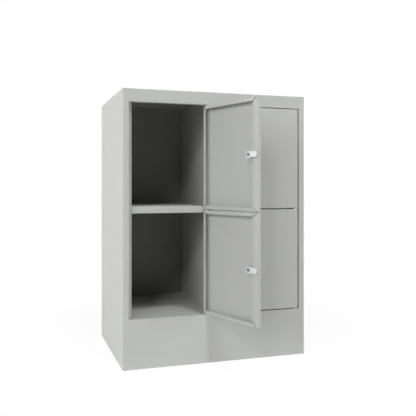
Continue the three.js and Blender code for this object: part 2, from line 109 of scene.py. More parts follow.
def linear(hex_colour):
    """The linear red, green, blue and alpha of an sRGB colour written as #rrggbb: each channel is divided
    by 12.92 where it is dark, and otherwise shifted, scaled and raised to the power 2.4."""
    share = np.array([int(hex_colour[i : i + 2], 16) for i in (1, 3, 5)]) / 255
    lit = np.where(share <= 0.04045, share / 12.92, ((share + 0.055) / 1.055) ** 2.4)
    return (*lit.tolist(), 1.0)


def add_node(material, kind, inputs=None, **settings):
    """One node in a material's tree, its kind written without Blender's prefix ShaderNode. Settings are the
    node's own, and each input is a value or an output that is linked to it."""
    node = material.node_tree.nodes.new(f"ShaderNode{kind}")
    for name, value in settings.items():
        setattr(node, name, value)
    for name, value in (inputs or {}).items():
        if isinstance(value, bpy.types.NodeSocket):
            material.node_tree.links.new(value, node.inputs[name])
        else:
            node.inputs[name].default_value = value
    return node


def new_material(name):
    """An empty node material, and the Object coordinates that its patterns lie in."""
    material = bpy.data.materials.new(name)
    material.use_nodes = True
    material.node_tree.nodes.clear()
    return material, add_node(material, "TexCoord").outputs["Object"]


def finish_material(material, shader):
    """Makes a shader the material's surface, and returns the finished material."""
    add_node(material, "OutputMaterial", {"Surface": shader.outputs[0]})
    return material


# %% [markdown]
# ## Powder coat on sheet steel
#
# The paint is a polyester powder, sprayed dry and melted in an oven. It gives the eye a light grey satin
# skin: the highlights are wide and soft, and close up it is slightly pebbled like the peel of an orange.
# The sheet under it is never quite flat, so broad reflections bend a little. Both are bumps on noise in
# Object coordinates, so that they keep their real size on every panel.

# %% Powder coat
PEEL_MM = 2.5  # the real peel is about 1 mm; it is drawn coarser, or it would vanish at this distance
PEEL_HEIGHT_MM = 0.04
PEEL_STRENGTH = 0.6
BUCKLE_MM = 160.0
BUCKLE_HEIGHT_MM = 0.6
BUCKLE_STRENGTH = 0.5
CLOUD_MM = 60.0
SATIN_ROUGHNESS = (0.38, 0.46)
PAINT_IOR = 1.5


def powder_coat(name, colour, cloudy_colour):
    """Polyester powder coat: a dielectric with a satin gloss, a fine peel, and a broad buckle in the sheet
    below. The colour drifts by a hair between two shades, as a sprayed coat's thickness does."""
    material, place = new_material(name)
    noises = (
        {"Vector": place, "Scale": 1 / (size * MM), "Detail": octaves}
        for size, octaves in ((CLOUD_MM, 2.0), (PEEL_MM, 1.0), (BUCKLE_MM, 0.0))
    )
    cloud, peel, buckle = (add_node(material, "TexNoise", noise).outputs["Fac"] for noise in noises)
    shades = {"Factor": cloud, "A": linear(colour), "B": linear(cloudy_colour)}
    shade = add_node(material, "Mix", shades, data_type="RGBA")
    bend = {"Height": buckle, "Distance": BUCKLE_HEIGHT_MM * MM, "Strength": BUCKLE_STRENGTH}
    bent = add_node(material, "Bump", bend).outputs["Normal"]
    pebbles = {"Height": peel, "Distance": PEEL_HEIGHT_MM * MM, "Strength": PEEL_STRENGTH, "Normal": bent}
    pebbled = add_node(material, "Bump", pebbles)
    smooth, matt = SATIN_ROUGHNESS
    gloss = add_node(material, "MapRange", {"Value": cloud, "To Min": smooth, "To Max": matt})
    surface = {
        "Base Color": shade.outputs["Result"],
        "Roughness": gloss.outputs["Result"],
        "IOR": PAINT_IOR,
        "Normal": pebbled.outputs["Normal"],
    }
    return finish_material(material, add_node(material, "BsdfPrincipled", surface))


# %% [markdown]
# ## Plated steel
#
# The cams, nuts, pins and brackets are bright zinc plate, and the lock bodies are satin nickel.
# Both are metals, so their colour is in their reflection. Plating leaves fine mottled crystals, which the
# eye sees as a patchy gloss, and the part below was stamped or turned, which leaves shallow marks.

# %% Plated metal
MARKS_MM = 0.6
MARKS_HEIGHT_MM = 0.01
MARKS_STRENGTH = 0.5


def plated_metal(name, colour, patch_colour, patch_mm, roughness):
    """Electroplated metal: a conductor whose colour and roughness are mottled at the size of the plating's
    patches, over fine tool marks."""
    material, place = new_material(name)
    noises = (
        {"Vector": place, "Scale": 1 / (size * MM), "Detail": octaves}
        for size, octaves in ((patch_mm, 3.0), (MARKS_MM, 1.0))
    )
    patches, marks = (add_node(material, "TexNoise", noise).outputs["Fac"] for noise in noises)
    tints = {"Factor": patches, "A": linear(colour), "B": linear(patch_colour)}
    tint = add_node(material, "Mix", tints, data_type="RGBA")
    smooth, matt = roughness
    gloss = add_node(material, "MapRange", {"Value": patches, "To Min": smooth, "To Max": matt})
    scratches = {"Height": marks, "Distance": MARKS_HEIGHT_MM * MM, "Strength": MARKS_STRENGTH}
    marked = add_node(material, "Bump", scratches)
    surface = {
        "Base Color": tint.outputs["Result"],
        "Roughness": gloss.outputs["Result"],
        "Metallic": 1.0,
        "Normal": marked.outputs["Normal"],
    }
    return finish_material(material, add_node(material, "BsdfPrincipled", surface))


# %% [markdown]
# ## Nylon
#
# The bushes are moulded in natural nylon. It is off-white and slightly waxy, because light enters it and
# comes out again a little further on, and its mould was spark eroded, which leaves a fine matt grain.

# %% Moulded nylon
GRAIN_MM = 0.4
GRAIN_HEIGHT_MM = 0.02
GRAIN_STRENGTH = 0.6
NYLON_ROUGHNESS = (0.45, 0.6)
NYLON_IOR = 1.53
NYLON_SCATTER = 0.15
NYLON_SCATTER_MM = 1.0


def moulded_nylon(name, colour):
    """Natural nylon: a matt, faintly translucent plastic with the fine grain of its mould."""
    material, place = new_material(name)
    noise = {"Vector": place, "Scale": 1 / (GRAIN_MM * MM), "Detail": 2.0}
    grain = add_node(material, "TexNoise", noise).outputs["Fac"]
    pits = {"Height": grain, "Distance": GRAIN_HEIGHT_MM * MM, "Strength": GRAIN_STRENGTH}
    grained = add_node(material, "Bump", pits)
    smooth, matt = NYLON_ROUGHNESS
    gloss = add_node(material, "MapRange", {"Value": grain, "To Min": smooth, "To Max": matt})
    surface = {
        "Base Color": linear(colour),
        "Roughness": gloss.outputs["Result"],
        "IOR": NYLON_IOR,
        "Subsurface Weight": NYLON_SCATTER,
        "Subsurface Scale": NYLON_SCATTER_MM * MM,
        "Normal": grained.outputs["Normal"],
    }
    return finish_material(material, add_node(material, "BsdfPrincipled", surface))


# %% [markdown]
# ## A finish for every slot
#
# The record names the slot of each CAD node. Every node gets its finish here, and the detailed pieces
# that stand for some of them below take the same one. Two kinds of piece differ. The back panel gets a much
# darker grey of the same coat. This is painted shade, standing in for the dimness at the back of each deep box.
# The cams' screws are blackened, and show as a dark spot on each bright cam.

# %% Finishes
ZINC_PATCH_MM = 3.0
FINE_PATCH_MM = 1.5

finishes = {
    "paint": powder_coat("powder_coat_light_grey", "#bcbebb", "#babbb9"),
    "zinc": plated_metal(
        "bright_zinc_plate_on_stamped_steel", "#e0e2e3", "#cfd2d5", ZINC_PATCH_MM, roughness=(0.45, 0.6)
    ),
    "nickel": plated_metal(
        "satin_nickel_plate_on_die_cast_zinc", "#cfcac2", "#c2bdb5", FINE_PATCH_MM, roughness=(0.2, 0.3)
    ),
    "nylon": moulded_nylon("natural_nylon_moulded", "#f1efe8"),
}
finish_of = {name: finishes[slot] for name, slot in slot_of.items()}
# painted shade: the back panel's coat is a much darker grey than the rest, for the dim depth of the boxes
finish_of["back_panel"] = powder_coat("powder_coat_darkened_for_painted_shade", "#888a87", "#828481")
blackened = plated_metal(
    "black_zinc_plate_on_turned_steel", "#85878a", "#75777a", FINE_PATCH_MM, roughness=(0.35, 0.5)
)
finish_of.update({name: blackened for name in finish_of if name.endswith("cam_screw")})
for name, finish in finish_of.items():
    materials = nodes[name].data.materials
    materials.clear()
    materials.append(finish)
print("finishes:", {slot: list(slot_of.values()).count(slot) for slot in finishes})

# %% [markdown]
# ## Helpers for shapes
#
# A piece is a list of patches. Most are surface grids, arrays of points in rows and columns that a formula
# gives all at once, and a flat face with an odd outline is a single loop of points. Where two patches meet
# they have the same points, so merging the doubles sews them into one closed skin. A fine bevel then
# rounds the cut edges, since a perfectly sharp edge catches no light and looks false.

# %% Shape helpers
SEWING_REACH = 0.002 * MM
UNSEWN = 0.02 * MM  # shapes of one piece that only touch on the real part are kept this far apart
SHARP = math.radians(40)
PANEL_EDGE = 0.2 * MM
SMALL_EDGE = 0.1 * MM
EDGE_STEPS = 2


def sewn_mesh(name, patches):
    """A mesh of grids (rows x columns x 3) and single faces (points x 3), sewn at their shared points and
    turned so that every face looks outward."""
    starts = np.cumsum([0] + [patch.size // 3 for patch in patches])
    faces = []
    for patch, start in zip(patches, starts):
        order = start + np.arange(patch.size // 3).reshape(patch.shape[:-1])
        if patch.ndim == 3:
            corners = (order[:-1, :-1], order[1:, :-1], order[1:, 1:], order[:-1, 1:])
            faces += np.stack(corners, -1).reshape(-1, 4).tolist()
        else:
            faces.append(order.tolist())
    mesh = bpy.data.meshes.new(name)
    mesh.from_pydata(np.concatenate([patch.reshape(-1, 3) for patch in patches]).tolist(), [], faces)
    sewing = bmesh.new()
    sewing.from_mesh(mesh)
    bmesh.ops.remove_doubles(sewing, verts=sewing.verts, dist=SEWING_REACH)
    bmesh.ops.recalc_face_normals(sewing, faces=sewing.faces)
    sewing.to_mesh(mesh)
    sewing.free()
    mesh.shade_smooth()
    return mesh


def add_piece(node, patches, edge=PANEL_EDGE):
    """The detailed piece that stands for a CAD node: it takes the node's finish and moves with its body."""
    mesh = sewn_mesh(f"{node}_detailed", patches)
    mesh.materials.append(finish_of[node])
    piece = add_object(mesh.name, mesh)
    bevel = piece.modifiers.new("softened_edges", "BEVEL")
    bevel.limit_method = "ANGLE"
    bevel.angle_limit = SHARP
    bevel.width = edge
    bevel.segments = EDGE_STEPS
    flat = piece.modifiers.new("flat_faces_stay_flat", "WEIGHTED_NORMAL")
    flat.keep_sharp = True
    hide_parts(node)
    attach(piece, body_of[node])
    return piece


def placed(patches, turn=None, move=(0, 0, 0)):
    """Patches turned by a rotation matrix and then moved: point' = turn . point + move."""
    matrix = np.identity(3) if turn is None else np.array(turn)
    return [patch @ matrix.T + np.array(move) for patch in patches]


def node_box(name):
    """A CAD node's lowest and highest corner at rest."""
    return np.array(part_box(name))


# %% [markdown]
# ## Folding a sheet
#
# A press brake folds a flat blank over an edge, which leaves the same small radius inside every bend. The
# section is written as the corners of its outer face. Each corner becomes an arc, and the other face
# follows one sheet thickness away, so the bends come out as the press makes them.

# %% Folded sheet
X, Y, Z = 0, 1, 2
SHEET = 1.0 * MM
BEND_INSIDE = 0.6 * MM
BEND_OUTSIDE = BEND_INSIDE + SHEET
BEND_STEPS = 6


def fold(corners, side):
    """Both faces of a folded sheet in section. The metal lies to the left of the corners' direction when
    side is 1 and to the right when it is -1. A bend by an angle a starts radius * tan(a / 2) before its
    corner, and its points are centre - radius * normal while the normal turns by a."""
    corners = np.array(corners, dtype=float)
    run = np.diff(corners, axis=0)
    heading = np.arctan2(run[:, 1], run[:, 0])
    turn = (np.diff(heading) + math.pi) % math.tau - math.pi
    signed_radius = np.sign(turn) * np.where(np.sign(turn) == side, BEND_OUTSIDE, BEND_INSIDE)
    angle = heading[:-1, None] + turn[:, None] * np.linspace(0, 1, BEND_STEPS + 1)
    normal = np.stack((-np.sin(angle), np.cos(angle)), -1)
    along = np.stack((np.cos(heading[:-1]), np.sin(heading[:-1])), -1)
    start = corners[1:-1] - along * (signed_radius * np.tan(turn / 2))[:, None]
    centre = start + normal[:, 0] * signed_radius[:, None]
    arcs = centre[:, None] - normal * signed_radius[:, None, None]
    last = (-math.sin(heading[-1]), math.cos(heading[-1]))
    face = np.concatenate((corners[:1], arcs.reshape(-1, 2), corners[-1:]))
    normals = np.concatenate((normal[0, :1], normal.reshape(-1, 2), [last]))
    return face, face + side * SHEET * normals


def carried(faces, axis, start, end):
    """A section carried straight along an axis, from start to end: its outline all round, and a strip
    between its two faces at each end."""
    face, other_face = faces
    loop = np.concatenate((face, other_face[::-1], face[:1]))
    skin = np.stack([np.insert(loop, axis, place, axis=1) for place in (start, end)])
    caps = [np.stack([np.insert(line, axis, place, axis=1) for line in faces]) for place in (start, end)]
    return [skin, *caps]


def slab(outline, bottom, top):
    """An upright prism: its outline, given as plan points in order, at two heights with walls between."""
    levels = [np.insert(np.array(outline), Z, height, axis=1) for height in (bottom, top)]
    walls = np.stack([np.concatenate((level, level[:1])) for level in levels])
    return [walls, *levels]


# %% [markdown]
# ## The front frame's places
#
# The CAD boxes give every plane that the folded panels run between.

# %% Frame places
SEAM = 0.3 * MM
STOP_WIDTH = 11 * MM
REAR_FLANGE = 15 * MM
FOOT_FLANGE = 25 * MM

(left, front, _), (left_strip_end, rear, under_top) = node_box("left_side_panel")
left_strike = left_strip_end - STOP_WIDTH
(right_post, _, _), (right, _, _) = node_box("right_side_panel")
(mullion_left, _, mullion_foot), (mullion_strip_end, post_end, mullion_head) = node_box("centre_mullion")
mullion_right = mullion_strip_end - STOP_WIDTH
(_, _, rail_bottom), (_, _, top) = node_box("top_panel")
(inner_left, _, _), (inner_right, ledge_end, plinth_top) = node_box("plinth_panel")
stop_plane = node_box("left_shelf")[0][Y]
print(f"frame: {(right - left) / MM:.0f} x {(rear - front) / MM:.0f} x {top / MM:.0f} mm")

# %% [markdown]
# ## Side panels
#
# Each side panel is one sheet. The left one starts at the strip that the doors close against, runs forward
# into the stile, round the corner, and back along the side to a flange behind the back panel. The right
# one has its hinges in front, so it starts at the deep post beside them.

# %% Side panels
left_section = [
    (left_strip_end, stop_plane),
    (left_strike, stop_plane),
    (left_strike, front),
    (left, front),
    (left, rear),
    (left + REAR_FLANGE, rear),
]
right_section = [
    (right_post, post_end),
    (right_post, front),
    (right, front),
    (right, rear),
    (right - REAR_FLANGE, rear),
]
add_piece("left_side_panel", carried(fold(left_section, -1), Z, 0.0, under_top))
add_piece("right_side_panel", carried(fold(right_section, 1), Z, 0.0, under_top))

# %% [markdown]
# ## Ground welds
#
# The front frame is welded together. A stile's bend leaves a small V beside the cut end of the rail or the
# plinth, which the welder fills and grinds flush, and the photograph shows no seam there.

# %% Ground welds


def ground_weld(stile_edge, toward, low, high):
    """The weld in one V. Its plan follows the bend, at edge - toward * R * (1 - sin a) across and
    R * (1 - cos a) back, and ends square at the sheet beside it, which lies in the toward direction."""
    angle = np.linspace(0, math.pi / 2, BEND_STEPS + 1)
    across = stile_edge - toward * BEND_OUTSIDE * (1 - np.sin(angle))
    deep = front + BEND_OUTSIDE * (1 - np.cos(angle))
    sheet_end = stile_edge + toward * (SEAM - UNSEWN)
    outline = [*zip(across, deep), (sheet_end, deep[-1]), (sheet_end, front)]
    return slab(outline, low + BEND_OUTSIDE, high - BEND_OUTSIDE)


def stile_welds(low, high):
    """The welds at both stiles, between two heights."""
    return ground_weld(left_strike, 1, low, high) + ground_weld(right_post, -1, low, high)


# %% [markdown]
# ## Top panel
#
# The top lies over both sides, and its front edge is folded down into the rail. The fold only fits between
# the stiles, so the sheet that covers the stiles is flat there: the press brake's blank is notched.

# %% Top panel
top_section = [
    (ledge_end, rail_bottom),
    (front, rail_bottom),
    (front, top),
    (rear, top),
    (rear, top - REAR_FLANGE),
]


def lap(inside, outside):
    """The flat part of the top over one side panel: a level sheet with the same front and rear edge."""
    level = np.array([(front, top), (rear, top)])
    return carried((level, level - (0, SHEET)), X, *sorted((inside, outside)))


folded_top = carried(fold(top_section, -1), X, inner_left, inner_right)
laps = lap(inner_left - UNSEWN, left) + lap(inner_right + UNSEWN, right)
add_piece("top_panel", folded_top + laps + stile_welds(rail_bottom, top))

# %% [markdown]
# ## Plinth, mullion, centre wall and back
#
# The plinth's panel is a shallow channel with a foot below and a ledge above that carries the lower hinge
# pins. The mullion is the post between the doors, and the centre wall is folded behind it in front and
# turned over at its foot and its head. The back is set in from the rear edges.

# %% Plinth, mullion, centre wall and back
plinth_section = [(ledge_end, 0.0), (front, 0.0), (front, plinth_top), (ledge_end, plinth_top)]
folded_plinth = carried(fold(plinth_section, -1), X, inner_left, inner_right)
add_piece("plinth_panel", folded_plinth + stile_welds(0.0, plinth_top))

mullion_section = [
    (mullion_left, post_end),
    (mullion_left, front),
    (mullion_right, front),
    (mullion_right, stop_plane),
    (mullion_strip_end, stop_plane),
]
add_piece("centre_mullion", carried(fold(mullion_section, 1), Z, mullion_foot, mullion_head))

(_, wall_front, _), (flange_end, wall_rear, wall_top) = node_box("centre_wall")
wall_section = [(mullion_left, wall_front), (SHEET / 2, wall_front), (SHEET / 2, wall_rear)]
wall = carried(fold(wall_section, 1), Z, 0.0, wall_top)
flange_start = SHEET / 2 + UNSEWN
fore, aft = wall_front + FOOT_FLANGE, wall_rear - FOOT_FLANGE
flange = [(flange_start, fore), (flange_end, fore), (flange_end, aft), (flange_start, aft)]
for underside in (0.0, wall_top - SHEET):
    wall += slab(flange, underside, underside + SHEET)
add_piece("centre_wall", wall)

(back_left, back, _), (back_right, back_end, back_top) = node_box("back_panel")
back_section = [(back_left, back_end), (back_left, back), (back_right, back), (back_right, back_end)]
add_piece("back_panel", carried(fold(back_section, 1), Z, 0.0, back_top))

# %% [markdown]
# ## The door pan
#
# A door is a shallow tray. Its four walls are folded back from the front, and a lip on each is folded in
# again, which stiffens the door and hides its raw edges. The corners are welded and ground round, and the
# lips meet at a mitre that stays open. Everything is written around the pivot: X towards the hinge edge,
# Y back from the pivot, and Z up from the door's lower edge. The closed right door's box gives the size.

# %% Door sizes
DOOR_LIP = 11 * MM
FREE_EDGE_LIP = 17 * MM
MITRE_SLIT = 2.0 * MM
CORNER = BEND_OUTSIDE
PIN_GAP = 0.3 * MM
PIN_RADIUS = 2.5 * MM
BUSH_WALL = 1.1 * MM
BUSH_RADIUS = PIN_RADIUS + PIN_GAP + BUSH_WALL
LOCK_RADIUS = 9 * MM

door_box = node_box("lower_right_door")
hinge = joint_of["lower_right_door_hinge"]["pos_m"]
door_x, door_y, _ = (door_box - hinge).T
door_width, door_depth, door_height = door_box[1] - door_box[0]
lock_x = joint_of["lower_right_cam_turn"]["pos_m"][X] - hinge[X]
lock_z = door_height / 2
print(f"door: {door_width / MM:.1f} x {door_height / MM:.2f} x {door_depth / MM:.0f} mm")

# %% [markdown]
# The tray's skin is made of rings. A ring runs once round the door at some inset from its outline and at
# some depth. It turns each corner on an arc, and it has one more point on every side, level with the pivot
# or the lock, so that the round holes there can be let into the faces on both sides of that point.

# %% Door pan
HOLE_STEPS = 24
LOCK_HOLE = LOCK_RADIUS + PIN_GAP
BUSH_HOLE = BUSH_RADIUS + PIN_GAP


def pan_section(inset):
    """Both faces of the pan in section, as points of (inset, depth): front, wall and lip."""
    fore, aft = door_y
    return fold([(inset, fore), (0, fore), (0, aft), (inset, aft)], -1)


def pan_rings(line):
    """Rings for a line of (inset, depth) points. At corner k the ring's points are centre + r * (cos a,
    sin a), where the centre lies max(inset, CORNER) from both edges and r = max(CORNER - inset, 0)."""
    inset, depth = line[:, 0, None, None], line[:, 1, None, None]
    quarter = np.linspace(0, math.pi / 2, BEND_STEPS + 1)
    angle = np.array([2, 3, 0, 1])[:, None] * math.pi / 2 + quarter
    centre_inset = np.maximum(inset, CORNER)
    radius = np.maximum(CORNER - inset, 0)
    edge_x = door_x[[0, 1, 1, 0]][:, None]
    edge_z = np.array([0, 0, door_height, door_height])[:, None]
    to_middle_x = np.array([1, -1, -1, 1])[:, None]
    to_middle_z = np.array([1, 1, -1, -1])[:, None]
    arc_x = edge_x + to_middle_x * centre_inset + radius * np.cos(angle)
    arc_z = edge_z + to_middle_z * centre_inset + radius * np.sin(angle)
    flat = inset[:, 0]
    side_x = np.hstack((flat * 0, door_x[1] - flat, flat * 0, door_x[0] + flat))[:, :, None]
    side_z = np.hstack((flat, flat * 0 + lock_z, door_height - flat, flat * 0 + lock_z))[:, :, None]
    x = np.concatenate((arc_x, side_x), axis=2)
    z = np.concatenate((arc_z, side_z), axis=2)
    return np.stack((x, np.broadcast_to(depth, x.shape), z), -1)


def half_circle(centre, radius, start, end, axis):
    """Points of a half circle from one angle to another, in the plane square to an axis."""
    angle = np.linspace(start, end, HOLE_STEPS // 2 + 1)
    flat = np.stack((radius * np.cos(angle), radius * np.sin(angle)), -1)
    return np.insert(flat, axis, 0.0, axis=1) + centre


def barrel(rim_centres, radius, axis):
    """The wall of a round hole, in two halves, between its rims in the sheet's two faces."""
    return [
        np.stack([half_circle(centre, radius, start, start + math.pi, axis) for centre in rim_centres])
        for start in (0, math.pi)
    ]


# %% [markdown]
# One skin is the outer or the inner face of the sheet, all round the door. Its front is two faces that
# meet level with the lock, with half of the lock's hole in each. The walls above and below are cut in two
# at the pivot in the same way, for the holes that the bushes sit in.

# %% Door skins
BOTTOM, RIGHT_SIDE, TOP, LEFT_SIDE = range(4)
ARC_END = BEND_STEPS
SIDE_POINT = BEND_STEPS + 1
ARC = slice(0, SIDE_POINT)


def front_faces(ring):
    """The front above and below the lock, each with half of the lock's hole in its edge."""
    centre = (lock_x, ring[0, 0, Y], lock_z)
    above = np.concatenate((ring[RIGHT_SIDE, SIDE_POINT:], ring[TOP], ring[LEFT_SIDE]))
    below = np.concatenate((ring[LEFT_SIDE, SIDE_POINT:], ring[BOTTOM], ring[RIGHT_SIDE]))
    return [
        np.concatenate((above, half_circle(centre, LOCK_HOLE, math.pi, 0, Y))),
        np.concatenate((below, half_circle(centre, LOCK_HOLE, 0, -math.pi, Y))),
    ]


def holed_wall(fore, aft, side):
    """The wall above or below, between its front and rear rings, in two faces that meet at the pivot. Each
    has its half of the bush's hole in its edge."""
    centre = (0, 0, fore[side, SIDE_POINT, Z])
    ahead = -math.pi / 2
    swing = math.copysign(math.pi, fore[side, ARC_END, X])
    next_side = (side + 1) % 4
    before_pivot = [
        fore[side, ARC_END:],
        half_circle(centre, BUSH_HOLE, ahead, ahead + swing, Z),
        aft[side, ARC_END:][::-1],
    ]
    after_pivot = [
        [fore[next_side, 0], fore[side, SIDE_POINT]],
        half_circle(centre, BUSH_HOLE, ahead, ahead - swing, Z),
        [aft[side, SIDE_POINT], aft[next_side, 0]],
    ]
    return [np.concatenate(before_pivot), np.concatenate(after_pivot)]


def pan_skin(line):
    """One face of the pan's sheet, from the front to the start of the rear bend, and its corners' rims."""
    rings = pan_rings(line)
    flat_rings = rings.reshape(len(line), -1, 3)
    bend = np.concatenate((flat_rings, flat_rings[:, :1]), axis=1)[:-1]
    corners = [rings[-2:, side, ARC] for side in range(4)]
    upright_walls = [
        np.concatenate((rings[-2:, side, ARC_END:], rings[-2:, (side + 1) % 4, :1]), axis=1)
        for side in (RIGHT_SIDE, LEFT_SIDE)
    ]
    level_walls = holed_wall(*rings[-2:], BOTTOM) + holed_wall(*rings[-2:], TOP)
    return [bend, *corners, *upright_walls, *front_faces(rings[0]), *level_walls], rings[-1][:, ARC]


# %% [markdown]
# A flap is the rear bend and the lip of one side. Its ends follow the mitre: they start at the corner's
# arc and run to the inner corner where the two lips meet, half a slit away from it.

# %% Door flaps


def pan_flap(side, lip, lips_beside):
    """The rear bend and lip along one side: its two faces, its mitred ends and its inner edge. A point
    lies at origin + along * direction + inset * inward, and its depth comes from the fold."""
    faces = [face[BEND_STEPS + 2 :] for face in pan_section(lip)]
    origin = ((door_x[0], 0), (door_x[1], 0), (door_x[1], door_height), (door_x[0], door_height))[side]
    direction = np.array([(1, 0), (0, 1), (-1, 0), (0, -1)])[side]
    inward = np.array([(0, 1), (-1, 0), (0, -1), (1, 0)])[side]
    length = (door_width, door_height)[side % 2]
    middle = (-door_x[0], lock_z, door_x[1], lock_z)[side]
    clear = MITRE_SLIT / math.sqrt(2)
    mitres = [
        np.interp(faces[0][:, 0], (0, BEND_OUTSIDE, lip), (CORNER, CORNER + clear, beside + clear))
        for beside in lips_beside
    ]
    along = np.stack((mitres[0], np.full(len(mitres[0]), middle), length - mitres[1]), -1)
    grids = []
    for face in faces:
        flat = np.array(origin) + along[..., None] * direction + face[:, None, :1] * inward
        grids.append(np.insert(flat, Y, np.broadcast_to(face[:, 1:], along.shape), axis=-1))
    ends = [np.stack([grid[:, column] for grid in grids]) for column in (0, -1)]
    inner_edge = np.stack([grid[-1] for grid in grids])
    return [*grids, *ends, inner_edge]


def door_pan():
    """The whole pan: an outer and an inner skin, the corners' rear edges, the four flaps and the holes."""
    skins = [pan_skin(face[1 : BEND_STEPS + 3]) for face in pan_section(DOOR_LIP)]
    patches = [patch for skin, _ in skins for patch in skin]
    patches += [np.stack([rims[side] for _, rims in skins]) for side in range(4)]
    lips = (DOOR_LIP, DOOR_LIP, DOOR_LIP, FREE_EDGE_LIP)
    for side in range(4):
        patches += pan_flap(side, lips[side], (lips[side - 1], lips[(side + 1) % 4]))
    fore = door_y[0]
    patches += barrel([(lock_x, y, lock_z) for y in (fore, fore + SHEET)], LOCK_HOLE, Y)
    for levels in ((0, SHEET), (door_height - SHEET, door_height)):
        patches += barrel([(0, 0, z) for z in levels], BUSH_HOLE, Z)
    return patches


doors = {}
for name in ("lower_left", "lower_right", "upper_left", "upper_right"):
    joint = joint_of[f"{name}_door_hinge"]
    turn = Matrix.Rotation(math.radians(-joint["range_deg"][0]), 3, "Z")
    foot = node_box(f"{name}_door")[0][Z]
    doors[name] = (turn, (joint["pos_m"][X], joint["pos_m"][Y], foot))

pan = door_pan()
for name, (turn, move) in doors.items():
    piece = add_piece(f"{name}_door", placed(pan, turn, move))
    print(piece.name, len(piece.data.polygons), "faces")

# %% [markdown]
# ## Shelves
#
# A shelf's front edge is folded down into a lip, and folded once more underneath into a hem. Both doors of
# the column close against the lip. The rest is a level plate, notched round the stop strip and the post,
# with a flange turned down along each wall and along the back. The floors are such plates without a lip.

# %% Shelves
SHELF_LEG = 6.5 * MM
SHELF_LIP = 21 * MM
SHELF_HEM = 12 * MM
PLATE_FLANGE = 15 * MM


def column_plate(column_walls, front_edge, plate_top):
    """The plate and its turned-down flanges. The plan runs round the stop strip on the left and the post on
    the right. The flanges are one U-shaped sheet that starts just inside the plate's underside."""
    stop_end, post_side, wall_left, wall_right = column_walls
    behind_stop = stop_plane + SHEET + SEAM
    behind_post = post_end + SEAM + SHEET + SEAM
    plate_back = back - SEAM
    plan = [
        (stop_end, front_edge),
        (post_side, front_edge),
        (post_side, behind_post),
        (wall_right, behind_post),
        (wall_right, plate_back),
        (wall_left, plate_back),
        (wall_left, behind_stop),
        (stop_end, behind_stop),
    ]
    fore, aft = behind_post + SEAM, plate_back - SHEET
    flanges = [
        (wall_left, fore),
        (wall_left, plate_back),
        (wall_right, plate_back),
        (wall_right, fore),
        (wall_right - SHEET, fore),
        (wall_right - SHEET, aft),
        (wall_left + SHEET, aft),
        (wall_left + SHEET, fore),
    ]
    underside = plate_top - SHEET
    return slab(plan, underside, plate_top) + slab(flanges, plate_top - PLATE_FLANGE, underside - UNSEWN)


columns = {
    "left": (left_strip_end + SEAM, mullion_left - SEAM, left + SHEET + SEAM, -SHEET / 2 - SEAM),
    "right": (mullion_strip_end + SEAM, right_post - SEAM, SHEET / 2 + SEAM, right - SHEET - SEAM),
}
for column, column_walls in columns.items():
    shelf_top = node_box(f"{column}_shelf")[1][Z]
    leg_end = stop_plane + SHELF_LEG
    lip_section = [
        (leg_end, shelf_top),
        (stop_plane, shelf_top),
        (stop_plane, shelf_top - SHELF_LIP),
        (stop_plane + SHELF_HEM, shelf_top - SHELF_LIP),
    ]
    lip = carried(fold(lip_section, 1), X, *column_walls[:2])
    add_piece(f"{column}_shelf", lip + column_plate(column_walls, leg_end + UNSEWN, shelf_top))
    (_, floor_front, _), (_, _, floor_top) = node_box(f"{column}_floor")
    add_piece(f"{column}_floor", column_plate(column_walls, floor_front, floor_top))
    print(f"{column} shelf: {shelf_top / MM:.2f} mm up, its floor {floor_top / MM:.2f} mm")

# %% [markdown]
# ## Helpers for round parts
#
# Locks, pins and bushes are turned or drawn around an axis. Their surface is a radius for every angle at
# every step along the axis. Where an outline isn't round, as on a nut, a cam or a keyway, the radius
# depends on the angle, and the corners' own angles are added to the even ones so that none is cut off.

# %% Round helpers
ROUND_STEPS = 48
ANGLE_DECIMALS = 6
GRAZING = 0.001


def even_angles(*outlines):
    """Angles once round, evenly spaced, with those of the outlines' corners put in."""
    even = np.linspace(0, math.tau, ROUND_STEPS, endpoint=False)
    corners = [np.arctan2(*np.array(outline).T[::-1]) % math.tau for outline in outlines]
    angles = np.unique(np.concatenate((even, *corners)).round(ANGLE_DECIMALS))
    return np.append(angles, angles[0] + math.tau)


def reach(outline, angles):
    """How far a convex outline reaches from the axis at each angle: the least, over its sides, of the
    side's distance divided by the cosine between its normal and the ray. Corners run anticlockwise."""
    corners = np.array(outline)
    run = np.roll(corners, -1, axis=0) - corners
    normal = np.stack((run[:, 1], -run[:, 0]), -1) / np.linalg.norm(run, axis=1)[:, None]
    distance = (normal * corners).sum(axis=1)[:, None]
    facing = normal @ np.stack((np.cos(angles), np.sin(angles)))
    return np.where(facing > GRAZING, distance / np.maximum(facing, GRAZING), np.inf).min(axis=0)


def rectangle(width, height):
    """The corners of a rectangle around the axis."""
    x, y = width / 2, height / 2
    return [(x, y), (-x, y), (-x, -y), (x, -y)]


def around(rows, angles, axis):
    """A grid round an axis: point(row, a) = radius * (cos a, sin a), at the row's place along the axis.
    Each row is a radius, or one radius for every angle, and a place."""
    radius = np.stack([np.broadcast_to(radius, angles.shape) for radius, _ in rows])
    place = np.broadcast_to(np.array([place for _, place in rows])[:, None], radius.shape)
    flat = np.stack((radius * np.cos(angles), radius * np.sin(angles)), -1)
    return np.insert(flat, axis, place, axis=-1)


# %% [markdown]
# ## Hinge pins
#
# Each pin is a turned steel rod with a rounded end. The lower one is riveted through the plinth's ledge
# and has a shoulder that carries the door, the middle one stands in the bracket between the two doors, and
# the upper one hangs from the rail by its head.

# %% Hinge pins
PIN_HEAD_RADIUS = 4 * MM
PIN_HEAD = 1.5 * MM
PIN_SHOULDER_RADIUS = 6 * MM
PIN_REACH = 12 * MM
BUSH_COLLAR = 0.7 * MM
DOME_STEPS = 5


